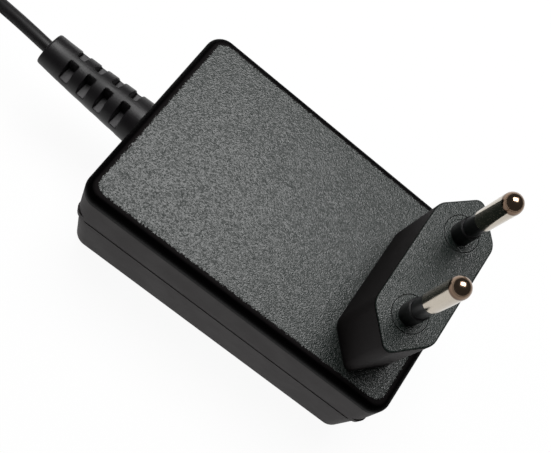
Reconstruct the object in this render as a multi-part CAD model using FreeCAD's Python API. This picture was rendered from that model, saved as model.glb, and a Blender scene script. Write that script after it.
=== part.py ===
# A plug-in power adapter: a moulded housing in two shells, with a two-pin mains plug block on its front
# face and a thin DC cord that leaves the far end through a moulded strain relief.
# Millimetres. The housing lies on its back: +Z points out along the contact pins, +X towards the end with
# the pins, and the cord leaves towards -X. The origin is the middle of the housing's back face.

import FreeCAD, Part
import math
import os

V = FreeCAD.Vector
X_AXIS = V(1, 0, 0)
Y_AXIS = V(0, 1, 0)
Z_AXIS = V(0, 0, 1)

# Housing
LENGTH = 69.5            # at the front face
WIDTH = 43.4             # at the front face
HEIGHT = 28.0            # back face to front face
FRONT_DEPTH = 11.1       # front face to the seam where the two shells meet
WALL = 2.0
FRONT_WALL = 2.2
BACK_WALL = 2.2
FRONT_CORNER = 3.6       # corners of the outline at the front face
SEAM_CORNER = 3.1        # at the seam
BACK_CORNER = 3.4        # at the back face
LEAST_CORNER = 0.5
FRONT_EDGE = 1.75        # smooth rounded edge round the front face
BACK_EDGE = 1.0
SEAM_SPREAD = 0.27       # how far the front shell's walls stand out at the seam, each side
REAR_SPREAD = 0.30       # the rear shell's walls under its rim
BACK_SPREAD = 0.20       # and at the back face
RIM_SPREAD = 0.18        # rim of the rear shell, set back between the corners and standing out at them
RIM_CORNER = 2.0
RIM_HEIGHT = 2.2
SEAM_GROOVE = 0.2        # groove between rim and front shell
SEAM_GROOVE_DEPTH = 0.4
TONGUE_HEIGHT = 1.4      # rim of the rear shell inside the front shell
TONGUE_GAP = 0.1
CUT_PAST = 1.0           # how far a cutting shape runs past what it cuts
BEND_SHARE = 0.45        # of each straight run of a cord or wire that an arc takes

# Plug block
BLOCK_INSET = 11.15      # middle of the block and of the pins, from the end of the front face
BLOCK_HEIGHT = 18.6      # above the front face
BLOCK_HALF_WIDTH = 6.65  # at its end face
BLOCK_HALF_LENGTH = 18.2 # to the point where the two slanted ends would meet
BLOCK_DRAFT_SIDE = 0.1   # wider at its foot, each side
BLOCK_DRAFT_END = 0.6    # longer at its foot, each end
BLOCK_SIDE_ROUND = 3.4
BLOCK_TIP_ROUND = 1.7
BLOCK_LEAST_ROUND = 0.4
BLOCK_EDGE = 0.35
BLOCK_WALL = 1.7
BLOCK_END_WALL = 2.6

# Contact pins, in the plug's standard sizes
PIN_SPACING = 18.84      # at the block's end face
PIN_LEAN = 1.63          # degrees towards each other
PIN_RADIUS = 1.975
PIN_LENGTH = 19.5
PIN_TAIL = 9.0           # inside the block
SHANK_RADIUS = 1.4
TAIL_RADIUS = 1.75
TAIL_GRIP = 3.0          # thicker end of the tail that the lead is joined to
SLEEVE_RADIUS = 1.82
SLEEVE_LENGTH = 8.5
SLEEVE_FOOT_RADIUS = 2.13
SLEEVE_FOOT_HEIGHT = 4.0
SLEEVE_FOOT_CHAMFER = 0.18
BUSH_RADIUS = 3.48
BUSH_GAP = 0.09
BUSH_FLANGE = 0.9        # wider than the hole, behind the end wall
BUSH_FLANGE_HEIGHT = 1.4
BUSH_DISH_RADIUS = 2.75
BUSH_DISH_DEPTH = 0.08

# Strain relief
RELIEF_RISE = 0.7        # its axis above the seam
RELIEF_LENGTH = 22.5
RELIEF_RADIUS = 4.95     # at the housing
RELIEF_END_RADIUS = 3.5
RELIEF_END_ROUND = 0.45
RELIEF_FOOT = 0.6        # what is trimmed to the slope of the wall
RELIEF_BEND = 1.4        # degrees towards +Y
RELIEF_TURN = 4.0        # degrees round its own axis
NECK_RADIUS = 4.75       # through the wall
NECK_GAP = 0.1
COLLAR_RADIUS = 5.7      # behind the wall
COLLAR_LENGTH = 2.2
SPINE = 1.6              # left standing between the pockets
WEB_ABOVE = 0.75         # level web that the pockets stop at, over and under the axis
WEB_BELOW = 1.6
POCKETS = ((4.3, 1.7), (8.3, 1.65), (12.3, 1.8), (16.5, 1.95))  # distance from the wall, length

# Cord
CORD_RADIUS = 1.35
COIL_CENTRE = (-96.5, -3.1)
COIL_MIDDLE = 16.2       # radius to the middle of the turns
COIL_COLUMNS = 3
COIL_ROWS = 4
COIL_ENTRY = 65.0        # degrees round the coil where the cord joins its top row
COIL_EXIT = 58.0         # where it leaves the bottom row
COIL_SOFTEN = 1.0        # rounding of the coil's outer shape
TIE_ANGLE = 240.0
TIE_WIDTH = 5.0
TIE_THICKNESS = 0.6
TIE_BEND = 0.5           # inside of its corners
TIE_SLACK = 0.5

# DC plug
GRIP_RADIUS = 4.8
GRIP_LENGTH = 14.5
GRIP_NECK_LENGTH = 8.5
GRIP_NECK_RADIUS = 3.2
GRIP_TIP_RADIUS = 2.2
GRIP_RIBS = 4
GRIP_RIB_DEPTH = 0.5
GRIP_GROOVE_SHARE = 0.4  # of the distance from rib to rib
GRIP_GROOVE_SLOPE = 0.1
GRIP_ROUND = 0.8
BARREL_RADIUS = 2.75
BARREL_LENGTH = 9.5
BARREL_WALL = 0.35
BARREL_SEAT = 4.0        # held inside the grip
BARREL_STEP = 0.3        # thinner there
BORE_RADIUS = 1.05
SPRING_WALL = 0.3
SPRING_SETBACK = 0.7
INSULATOR_SETBACK = 0.2

# Circuit board
BOARD_THICKNESS = 1.6
BOARD_STAND = 3.0        # posts under it
BOARD_MARGIN = 0.7       # clear of the walls
POST_RADIUS = 2.2
POST_INSET = 4.6
EDGE_GAP = 0.4           # from the board's edge to what stands on it
PART_GAP = 0.5           # between neighbours on the board
WIRE_RADIUS = 0.35

# Standing cans
CAN_RADIUS = 4.0
INPUT_CAN_HEADROOM = 3.0     # under the front wall
OUTPUT_CAN_HEADROOM = 2.0
CAN_GROOVE_HEIGHT = 2.2
CAN_GROOVE_DEPTH = 0.35
CAN_RIM = 0.6
CAN_DISH = 1.4
CAN_DISH_DEPTH = 0.25

# Drum chokes
INPUT_DRUM_RADIUS = 3.2
OUTPUT_DRUM_RADIUS = 2.9
DRUM_HEIGHT = 8.5
DRUM_FLANGE = 1.2
DRUM_WAIST = 0.5
DRUM_STEP = 0.1
OUTPUT_DRUM_Y = 3.2

# Round bodies on bent wires
FUSE_RADIUS = 1.9
FUSE_LENGTH = 6.0
FUSE_PITCH = 8.4
DIODE_RADIUS = 2.4
DIODE_LENGTH = 8.5
DIODE_PITCH = 12.0
RESISTOR_RADIUS = 0.95
RESISTOR_LENGTH = 4.2
RESISTOR_PITCH = 7.4
AXIAL_STAND = 0.4        # under the body
AXIAL_ROUND = 0.33       # of its ends, as a share of its radius

# Moulded packages on flat legs
PACKAGE_WIDTH = 4.0
PACKAGE_HEIGHT = 2.6
PACKAGE_STAND = 0.5
PACKAGE_CHAMFER = 0.35
LEG_REACH = 1.1
LEG_THICKNESS = 0.35
LEG_WIDTH = 0.6
RECTIFIER_LENGTH = 4.8
SWITCH_LENGTH = 5.0
OPTOCOUPLER_LENGTH = 4.6
LEG_PITCH = 1.27
OPTOCOUPLER_X = -5.0

# Disc capacitor on edge
DISC_RADIUS = 4.0
DISC_THICKNESS = 3.4
DISC_ROUND = 1.2
DISC_STAND = 1.6
DISC_LEGS = 5.0

# Transformer: two E halves that meet in the middle of a bobbin with its axis along X
CORE_X = -1.0
CORE_HALF_LENGTH = 10.0
CORE_HALF_WIDTH = 10.0
CORE_LEG = 2.4
CORE_CENTRE_LEG = 4.8
CORE_THICKNESS = 5.0
CORE_BACK = 2.4
BOBBIN_WALL = 0.8
BOBBIN_FIT = 0.1
BOBBIN_FEET = 0.9        # under its flanges
BOBBIN_HEADROOM = 3.1
BOBBIN_PINS = 4
WINDING_GAP = 0.4
WINDING_ROUND = 2.0
RAIL_HEIGHT = 2.4
RAIL_INSET = 1.0         # of the row of pins

# Leads and the sheet between the two sides
MAINS_LEAD_RADIUS = 0.8
MAINS_LAND_INSET = 1.75
MAINS_LAND_Y = 4.2
MAINS_LEAD_STRAIGHT = 4.0    # along the pin's tail
# Then in shares of the way from there to its place on the board, along X, along Y and down
MAINS_LEAD_WAY = ((0.22, 0.25, 0.2), (0.65, 0.68, 0.38), (0.95, 0.95, 0.6), (1.0, 1.0, 0.81))
OUTPUT_LEAD_RADIUS = 0.65
OUTPUT_LEAD_Y = 1.2      # where the two cores of the cord part
OUTPUT_LEAD_STRAIGHT = 2.7
OUTPUT_LEAD_WAY = ((0.76, 0.5, 0.2), (1.0, 1.0, 0.57))
OUTPUT_LAND_REACH = 5.6
OUTPUT_LAND_Y = 1.6
BARRIER_THICKNESS = 0.4
BARRIER_GAP = 0.3
BARRIER_MARGIN = 0.6
BARRIER_STEP = 0.7       # from the transformer

SEAM_Z = HEIGHT - FRONT_DEPTH
RELIEF_Z = SEAM_Z + RELIEF_RISE
BLOCK_X = LENGTH / 2 - BLOCK_INSET
BLOCK_TOP = HEIGHT + BLOCK_HEIGHT
RELIEF_HEADING = V(-math.cos(math.radians(RELIEF_BEND)), math.sin(math.radians(RELIEF_BEND)), 0)
RELIEF_START = V(-LENGTH / 2 - REAR_SPREAD, 0, RELIEF_Z)
CORD_START = RELIEF_START + RELIEF_HEADING * RELIEF_LENGTH
FIRST_RUN = 1.6          # straight out of the strain relief
CORD_BEND = CORD_START + RELIEF_HEADING * FIRST_RUN
COLLAR_SEAT = RELIEF_START + X_AXIS * WALL

BOARD_TOP = BACK_WALL + BOARD_STAND + BOARD_THICKNESS
BOARD_HALF_X = LENGTH / 2 + BACK_SPREAD - WALL - BOARD_MARGIN
BOARD_HALF_Y = WIDTH / 2 + BACK_SPREAD - WALL - BOARD_MARGIN
BOARD_CORNER = 1.5
ROOM = HEIGHT - FRONT_WALL - BOARD_TOP       # over the board
FLANGE_Y = CORE_HALF_WIDTH - CORE_LEG - BOBBIN_FIT
FLANGE_Z = (ROOM - BOBBIN_FEET - BOBBIN_HEADROOM) / 2
CORE_Z = BOARD_TOP + BOBBIN_FEET + FLANGE_Z
BARRIER_X = CORE_X - CORE_HALF_LENGTH - BARRIER_STEP - BARRIER_THICKNESS / 2


def rounded_outline(half_x, half_y, radius, z):
    """A level rectangle with round corners, as a closed wire."""
    cx, cy = half_x - radius, half_y - radius
    edges = []
    corners = ((cx, cy, 0), (-cx, cy, 90), (-cx, -cy, 180), (cx, -cy, 270))
    for i, (x, y, start) in enumerate(corners):
        edges.append(Part.makeCircle(radius, V(x, y, z), Z_AXIS, start, start + 90))
        next_x, next_y, begin = corners[(i + 1) % 4]
        a, b = math.radians(start + 90), math.radians(begin)
        p = V(x + radius * math.cos(a), y + radius * math.sin(a), z)
        q = V(next_x + radius * math.cos(b), next_y + radius * math.sin(b), z)
        edges.append(Part.makeLine(p, q))
    return Part.Wire(edges)


def rounded_polygon(points, radii, z):
    """A closed level outline through the points, each corner rounded by its own radius."""
    count = len(points)
    corners = []
    for i in range(count):
        p = V(points[i][0], points[i][1], z)
        back = (V(points[i - 1][0], points[i - 1][1], z) - p).normalize()
        ahead = (V(points[(i + 1) % count][0], points[(i + 1) % count][1], z) - p).normalize()
        half = back.getAngle(ahead) / 2
        reach = radii[i] / math.tan(half)
        middle = p + (back + ahead).normalize() * (radii[i] / math.sin(half) - radii[i])
        corners.append((p + back * reach, middle, p + ahead * reach))
    edges = []
    for i in range(count):
        start, middle, end = corners[i]
        edges.append(Part.Arc(start, middle, end).toShape())
        edges.append(Part.makeLine(end, corners[(i + 1) % count][0]))
    return Part.Wire(edges)


def loft(*wires):
    return Part.makeLoft(list(wires), True, True)


# How far the walls stand out and how round the corners are, from the front face to the back face
AT_FRONT = (0.0, FRONT_CORNER)
AT_SEAM = (SEAM_SPREAD, SEAM_CORNER)
AT_RIM = (RIM_SPREAD, RIM_CORNER)
UNDER_RIM = (REAR_SPREAD, BACK_CORNER)
AT_BACK = (BACK_SPREAD, BACK_CORNER)


def housing_outline(z, shape, inset):
    spread, corner = shape
    grow = spread - inset
    return rounded_outline(LENGTH / 2 + grow, WIDTH / 2 + grow, max(corner - inset, LEAST_CORNER), z)


def housing_block(low, high, shape_low, shape_high, inset=0.0):
    """The housing's outline between two heights, set in by the same amount all round."""
    return loft(housing_outline(low, shape_low, inset), housing_outline(high, shape_high, inset))


def front_outside():
    return housing_block(SEAM_Z, HEIGHT, AT_SEAM, AT_FRONT)


def rear_outside():
    return housing_block(0, SEAM_Z - RIM_HEIGHT, AT_BACK, UNDER_RIM)


def rim_block(top, inset=0.0):
    return housing_block(SEAM_Z - RIM_HEIGHT, top, AT_RIM, AT_RIM, inset)


def edges_at(shape, z):
    """The edges that lie wholly at one height."""
    return [e for e in shape.Edges if abs(e.BoundBox.ZMin - z) < 1e-6 and abs(e.BoundBox.ZMax - z) < 1e-6]


def cylinder(radius, height, base, axis=Z_AXIS):
    return Part.makeCylinder(radius, height, base, axis)


def box(low, high):
    return Part.makeBox(high[0] - low[0], high[1] - low[1], high[2] - low[2], V(*low))


def turned(points):
    """A solid turned round the Z axis from a closed outline of (radius, height) points."""
    face = Part.Face(Part.makePolygon([V(r, 0, z) for r, z in (*points, points[0])]))
    return face.revolve(V(0, 0, 0), Z_AXIS, 360)


def rounded_path(points):
    """Straight runs through hand-picked points, joined by tangent arcs as large as the runs allow."""
    edges = []
    start = points[0]
    radii = []
    for i in range(1, len(points) - 1):
        p = points[i]
        before, after = points[i - 1] - p, points[i + 1] - p
        turn = math.pi - before.getAngle(after)
        reach = BEND_SHARE * min(before.Length, after.Length)
        radius = reach / math.tan(turn / 2)
        radii.append(round(radius, 1))
        a = p + before.normalize() * reach
        b = p + after.normalize() * reach
        middle = p + (before + after).normalize() * (radius / math.cos(turn / 2) - radius)
        edges.append(Part.LineSegment(start, a).toShape())
        edges.append(Part.Arc(a, middle, b).toShape())
        start = b
    edges.append(Part.LineSegment(start, points[-1]).toShape())
    return Part.Wire(edges), radii


def swept(path, points, radius):
    """A round solid along a path that starts with the first two points."""
    section = Part.Wire(Part.makeCircle(radius, points[0], points[1] - points[0]))
    return path.makePipeShell([section], True, False)


def tube(points, radius, name):
    """A round tube through the points, with its volume compared with its section times its length."""
    path, radii = rounded_path(points)
    solid = swept(path, points, radius)
    share = solid.Volume / (math.pi * radius ** 2 * path.Length)
    print(name, "length", round(path.Length, 1), "radii", radii, "volume share", round(share, 4))
    return solid


def save(name, shape):
    shape = shape.removeSplitter()
    solids = shape.Solids
    if not solids or not all(s.isValid() for s in solids):
        raise ValueError(name + " is not a valid solid")
    result = solids[0] if len(solids) == 1 else Part.makeCompound(solids)
    result.exportStep("parts/" + name + ".step")
    print(name, "solids", len(solids), "volume", round(result.Volume, 1))


def block_outline(z, grow):
    """The plug block's six-sided outline at a height, grown or shrunk all round."""
    share = (BLOCK_TOP - z) / BLOCK_HEIGHT
    half_x = BLOCK_HALF_WIDTH + BLOCK_DRAFT_SIDE * share + grow
    tip = BLOCK_HALF_LENGTH + BLOCK_DRAFT_END * share + grow * math.sqrt(2)
    side = tip - half_x
    points = [(BLOCK_X + x, y) for x, y in
              ((half_x, -side), (half_x, side), (0, tip), (-half_x, side), (-half_x, -side), (0, -tip))]
    side_round = max(BLOCK_SIDE_ROUND + grow, BLOCK_LEAST_ROUND)
    tip_round = max(BLOCK_TIP_ROUND + grow, BLOCK_LEAST_ROUND)
    return rounded_polygon(points, [side_round, side_round, tip_round] * 2, z)


def pin_places():
    """The name, the foot on the block's end face and the lean of each contact pin."""
    return (("a", V(BLOCK_X, PIN_SPACING / 2, BLOCK_TOP), PIN_LEAN),
            ("b", V(BLOCK_X, -PIN_SPACING / 2, BLOCK_TOP), -PIN_LEAN))


def leaned(shape, foot, lean):
    shape = shape.copy()
    shape.rotate(V(0, 0, 0), X_AXIS, lean)
    shape.translate(foot)
    return shape


def contact_pin():
    """The metal pin: a round-ended contact, a thin shank inside the sleeve and a tail inside the block."""
    ball = PIN_LENGTH - PIN_RADIUS
    outline = [(0, -PIN_TAIL), (TAIL_RADIUS, -PIN_TAIL), (TAIL_RADIUS, TAIL_GRIP - PIN_TAIL),
               (SHANK_RADIUS, TAIL_GRIP - PIN_TAIL), (SHANK_RADIUS, SLEEVE_LENGTH),
               (PIN_RADIUS, SLEEVE_LENGTH), (PIN_RADIUS, ball), (0, ball)]
    return turned(outline).fuse(Part.makeSphere(PIN_RADIUS, V(0, 0, ball), Z_AXIS, 0, 90, 360))


def pin_sleeve():
    """The insulating sleeve, with a thicker foot that starts inside the bush."""
    low = -BLOCK_END_WALL
    outline = [(SHANK_RADIUS, low), (SLEEVE_FOOT_RADIUS, low),
               (SLEEVE_FOOT_RADIUS, SLEEVE_FOOT_HEIGHT - SLEEVE_FOOT_CHAMFER),
               (SLEEVE_RADIUS, SLEEVE_FOOT_HEIGHT), (SLEEVE_RADIUS, SLEEVE_LENGTH),
               (SHANK_RADIUS, SLEEVE_LENGTH)]
    return turned(outline)


def pin_bush(foot, lean):
    """The moulded bush that holds a pin: flush with the end face, dished, with a flange behind it."""
    low = -BLOCK_END_WALL
    outline = [(0, low - BUSH_FLANGE_HEIGHT), (BUSH_RADIUS + BUSH_FLANGE, low - BUSH_FLANGE_HEIGHT),
               (BUSH_RADIUS + BUSH_FLANGE, low), (BUSH_RADIUS, low), (BUSH_RADIUS, 0), (BUSH_DISH_RADIUS, 0),
               (BUSH_DISH_RADIUS - BUSH_DISH_DEPTH, -BUSH_DISH_DEPTH), (0, -BUSH_DISH_DEPTH)]
    bush = turned(outline)
    bush.translate(foot)
    return bush.cut([leaned(pin_sleeve(), foot, lean), leaned(contact_pin(), foot, lean)])


def strain_relief():
    """A tapered round moulding. Pockets from above and below leave a spine and a level web."""
    cone = Part.makeCone(RELIEF_RADIUS, RELIEF_END_RADIUS, RELIEF_LENGTH)
    cone = cone.makeFillet(RELIEF_END_ROUND, edges_at(cone, RELIEF_LENGTH))
    reach = RELIEF_RADIUS + CUT_PAST
    cutters = []
    for distance, length in POCKETS:
        for side in (-1, 1):
            for level, web in ((-1, WEB_BELOW), (1, WEB_ABOVE)):
                low_y, high_y = sorted((side * SPINE / 2, side * reach))
                low_x, high_x = sorted((level * web, level * reach))
                low, high = distance - length / 2, distance + length / 2
                cutters.append(box((low_x, low_y, low), (high_x, high_y, high)))
    body = cone.cut(cutters).fuse(cylinder(RELIEF_RADIUS, RELIEF_FOOT, V(0, 0, -RELIEF_FOOT)))
    body.rotate(V(0, 0, 0), Z_AXIS, RELIEF_TURN)
    body.rotate(V(0, 0, 0), Y_AXIS, -90)
    body.rotate(V(0, 0, 0), Z_AXIS, -RELIEF_BEND)
    body.translate(RELIEF_START)
    body = body.cut([front_outside(), rim_block(SEAM_Z), rear_outside()])
    neck = cylinder(NECK_RADIUS, WALL + RELIEF_FOOT, RELIEF_START - X_AXIS * RELIEF_FOOT, X_AXIS)
    collar = cylinder(COLLAR_RADIUS, COLLAR_LENGTH, COLLAR_SEAT, X_AXIS)
    return body.fuse([neck, collar])


def wall_opening():
    """What the neck and the collar of the strain relief take out of both shells."""
    neck = cylinder(NECK_RADIUS + NECK_GAP, WALL + 2 * CUT_PAST, RELIEF_START - X_AXIS * CUT_PAST, X_AXIS)
    collar = cylinder(COLLAR_RADIUS + NECK_GAP, COLLAR_LENGTH + NECK_GAP, COLLAR_SEAT, X_AXIS)
    return neck.fuse(collar)


def front_cover():
    """The front shell: textured face with a rounded edge, drafted walls and the hollow plug block."""
    shell = front_outside()
    shell = shell.makeFillet(FRONT_EDGE, edges_at(shell, HEIGHT))
    block = loft(block_outline(HEIGHT - FRONT_WALL / 2, 0), block_outline(BLOCK_TOP, 0))
    block = block.makeFillet(BLOCK_EDGE, edges_at(block, BLOCK_TOP))
    shell = shell.fuse(block)
    inside = housing_block(SEAM_Z - CUT_PAST, HEIGHT - FRONT_WALL, AT_SEAM, AT_FRONT, WALL)
    rabbet_top = SEAM_Z + TONGUE_HEIGHT + TONGUE_GAP
    rabbet = housing_block(SEAM_Z - CUT_PAST, rabbet_top, AT_SEAM, AT_SEAM, WALL / 2)
    hollow = loft(block_outline(HEIGHT - FRONT_WALL - CUT_PAST, -BLOCK_WALL),
                  block_outline(BLOCK_TOP - BLOCK_END_WALL, -BLOCK_WALL))
    hole_depth = BLOCK_END_WALL + 2 * CUT_PAST
    holes = [cylinder(BUSH_RADIUS + BUSH_GAP, hole_depth, foot - Z_AXIS * (BLOCK_END_WALL + CUT_PAST))
             for name, foot, lean in pin_places()]
    return shell.cut([inside, rabbet, hollow, wall_opening(), *holes])


def post_places():
    x = LENGTH / 2 - WALL - POST_INSET
    y = WIDTH / 2 - WALL - POST_INSET
    return [(sx * x, sy * y) for sx in (-1, 1) for sy in (-1, 1)]


def rear_cover():
    """The rear shell: flat back, a rim with a groove at the seam, the tongue and the board's posts."""
    body = rear_outside()
    body = body.makeFillet(BACK_EDGE, edges_at(body, 0))
    tongue = housing_block(SEAM_Z, SEAM_Z + TONGUE_HEIGHT, AT_SEAM, AT_SEAM, WALL / 2 + TONGUE_GAP)
    rim = rim_block(SEAM_Z - SEAM_GROOVE).fuse(rim_block(SEAM_Z, SEAM_GROOVE_DEPTH))
    body = body.fuse([rim, tongue])
    inside = housing_block(BACK_WALL, SEAM_Z + TONGUE_HEIGHT + CUT_PAST, AT_BACK, AT_SEAM, WALL)
    body = body.cut([inside, wall_opening()])
    sink = BACK_WALL / 2
    posts = [cylinder(POST_RADIUS, BOARD_STAND + sink, V(x, y, BACK_WALL - sink)) for x, y in post_places()]
    return body.fuse(posts)


def circuit_board():
    low = BOARD_TOP - BOARD_THICKNESS
    return loft(rounded_outline(BOARD_HALF_X, BOARD_HALF_Y, BOARD_CORNER, low),
                rounded_outline(BOARD_HALF_X, BOARD_HALF_Y, BOARD_CORNER, BOARD_TOP))


def can_capacitor(x, y, height):
    """A standing can with a rolled groove near its foot and a slightly sunk top."""
    r, groove = CAN_RADIUS, CAN_GROOVE_HEIGHT
    outline = [(0, 0), (r, 0), (r, groove - CAN_GROOVE_DEPTH), (r - CAN_GROOVE_DEPTH, groove),
               (r, groove + CAN_GROOVE_DEPTH), (r, height - CAN_RIM), (r - CAN_RIM, height),
               (r - CAN_DISH + CAN_DISH_DEPTH, height), (r - CAN_DISH, height - CAN_DISH_DEPTH),
               (0, height - CAN_DISH_DEPTH)]
    can = turned(outline)
    can.translate(V(x, y, BOARD_TOP))
    return can


def drum_choke(x, y, radius):
    """A standing drum of ferrite with its winding between two flanges."""
    low, high = DRUM_FLANGE, DRUM_HEIGHT - DRUM_FLANGE
    waist = radius - DRUM_WAIST
    outline = [(0, 0), (radius, 0), (radius, low), (waist, low + DRUM_STEP), (waist, high - DRUM_STEP),
               (radius, high), (radius, DRUM_HEIGHT), (0, DRUM_HEIGHT)]
    drum = turned(outline)
    drum.translate(V(x, y, BOARD_TOP))
    return drum


def axial_part(x, y, angle, radius, length, pitch):
    """A round body lying just above the board on its two bent wires."""
    stand = radius + AXIAL_STAND
    body = cylinder(radius, length, V(-length / 2, 0, 0), X_AXIS)
    rims = [e for e in body.Edges if e.BoundBox.XLength < 1e-6]
    body = body.makeFillet(AXIAL_ROUND * radius, rims)
    wires = []
    for side in (-1, 1):
        out = side * pitch / 2
        points = [V(0, 0, 0), V(out, 0, 0), V(out, 0, -stand)]
        wires.append(swept(rounded_path(points)[0], points, WIRE_RADIUS))
    part = body.fuse(wires)
    part.rotate(V(0, 0, 0), Z_AXIS, angle)
    part.translate(V(x, y, BOARD_TOP + stand))
    return part


def leaded_package(x, y, length, legs):
    """A moulded package with a row of flat legs that stand out of each long side and bend down."""
    low, high = PACKAGE_STAND, PACKAGE_STAND + PACKAGE_HEIGHT
    half_y = PACKAGE_WIDTH / 2
    body = box((-length / 2, -half_y, low), (length / 2, half_y, high))
    body = body.makeChamfer(PACKAGE_CHAMFER, edges_at(body, high))
    outer = half_y + LEG_REACH
    middle = (low + high) / 2
    shapes = []
    for i in range(legs):
        leg_x = (i - (legs - 1) / 2) * LEG_PITCH
        west, east = leg_x - LEG_WIDTH / 2, leg_x + LEG_WIDTH / 2
        for side in (-1, 1):
            low_y, high_y = sorted((0, side * outer))
            shapes.append(box((west, low_y, middle), (east, high_y, middle + LEG_THICKNESS)))
            low_y, high_y = sorted((side * (outer - LEG_THICKNESS), side * outer))
            shapes.append(box((west, low_y, 0), (east, high_y, middle)))
    part = body.fuse(shapes)
    part.translate(V(x, y, BOARD_TOP))
    return part


def disc_capacitor(x, y):
    """A disc standing on edge, on two wire legs."""
    disc = cylinder(DISC_RADIUS, DISC_THICKNESS, V(0, -DISC_THICKNESS / 2, 0), Y_AXIS)
    rims = [e for e in disc.Edges if e.BoundBox.YLength < 1e-6]
    disc = disc.makeFillet(DISC_ROUND, rims)
    stand = DISC_RADIUS + DISC_STAND
    legs = [cylinder(WIRE_RADIUS, stand, V(side * DISC_LEGS / 2, 0, -stand)) for side in (-1, 1)]
    part = disc.fuse(legs)
    part.translate(V(x, y, BOARD_TOP + stand))
    return part


def core_half(side):
    """One E of ferrite, its three legs pointing to the middle."""
    low_z, high_z = CORE_Z - CORE_THICKNESS / 2, CORE_Z + CORE_THICKNESS / 2
    outer, inner = CORE_HALF_WIDTH, CORE_HALF_WIDTH - CORE_LEG
    legs = []
    for low_y, high_y in ((-outer, -inner), (-CORE_CENTRE_LEG / 2, CORE_CENTRE_LEG / 2), (inner, outer)):
        low_x, high_x = sorted((0, side * CORE_HALF_LENGTH))
        legs.append(box((CORE_X + low_x, low_y, low_z), (CORE_X + high_x, high_y, high_z)))
    low_x, high_x = sorted((side * (CORE_HALF_LENGTH - CORE_BACK), side * CORE_HALF_LENGTH))
    back = box((CORE_X + low_x, -outer, low_z), (CORE_X + high_x, outer, high_z))
    return back.fuse(legs)


BOBBIN_REACH = CORE_HALF_LENGTH - CORE_BACK - BOBBIN_FIT
HOLE_Y = CORE_CENTRE_LEG / 2 + BOBBIN_FIT
HOLE_Z = CORE_THICKNESS / 2 + BOBBIN_FIT
TUBE_Y = HOLE_Y + BOBBIN_WALL
TUBE_Z = HOLE_Z + BOBBIN_WALL


def bobbin():
    """The bobbin: a square tube round the centre legs, two flanges, and a rail of pins at each end."""
    tube_body = box((CORE_X - BOBBIN_REACH, -TUBE_Y, CORE_Z - TUBE_Z),
                    (CORE_X + BOBBIN_REACH, TUBE_Y, CORE_Z + TUBE_Z))
    low_z = CORE_Z - FLANGE_Z
    pitch = 2 * FLANGE_Y / BOBBIN_PINS
    shapes = []
    for side in (-1, 1):
        low_x, high_x = sorted((side * (BOBBIN_REACH - BOBBIN_WALL), side * BOBBIN_REACH))
        top_z = CORE_Z + FLANGE_Z
        shapes.append(box((CORE_X + low_x, -FLANGE_Y, low_z), (CORE_X + high_x, FLANGE_Y, top_z)))
        low_x, high_x = sorted((side * (BOBBIN_REACH - BOBBIN_WALL), side * CORE_HALF_LENGTH))
        rail_z = min(low_z + RAIL_HEIGHT, CORE_Z - CORE_THICKNESS / 2 - BOBBIN_FIT)
        shapes.append(box((CORE_X + low_x, -FLANGE_Y, low_z), (CORE_X + high_x, FLANGE_Y, rail_z)))
        x = CORE_X + side * (CORE_HALF_LENGTH - RAIL_INSET)
        for i in range(BOBBIN_PINS):
            y = (i - (BOBBIN_PINS - 1) / 2) * pitch
            shapes.append(cylinder(WIRE_RADIUS, BOBBIN_FEET, V(x, y, BOARD_TOP)))
    solid = tube_body.fuse(shapes)
    reach = BOBBIN_REACH + CUT_PAST
    hole = box((CORE_X - reach, -HOLE_Y, CORE_Z - HOLE_Z), (CORE_X + reach, HOLE_Y, CORE_Z + HOLE_Z))
    return solid.cut(hole)


def winding():
    """The taped windings, a rounded ring between the bobbin's flanges."""
    reach = BOBBIN_REACH - BOBBIN_WALL
    outer_y, outer_z = FLANGE_Y - WINDING_GAP, FLANGE_Z - WINDING_GAP
    ring = box((-reach, -outer_y, -outer_z), (reach, outer_y, outer_z))
    long_edges = [e for e in ring.Edges if e.BoundBox.XLength > reach]
    ring = ring.makeFillet(WINDING_ROUND, long_edges)
    past = reach + CUT_PAST
    ring = ring.cut(box((-past, -TUBE_Y, -TUBE_Z), (past, TUBE_Y, TUBE_Z)))
    ring.translate(V(CORE_X, 0, CORE_Z))
    return ring


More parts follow.
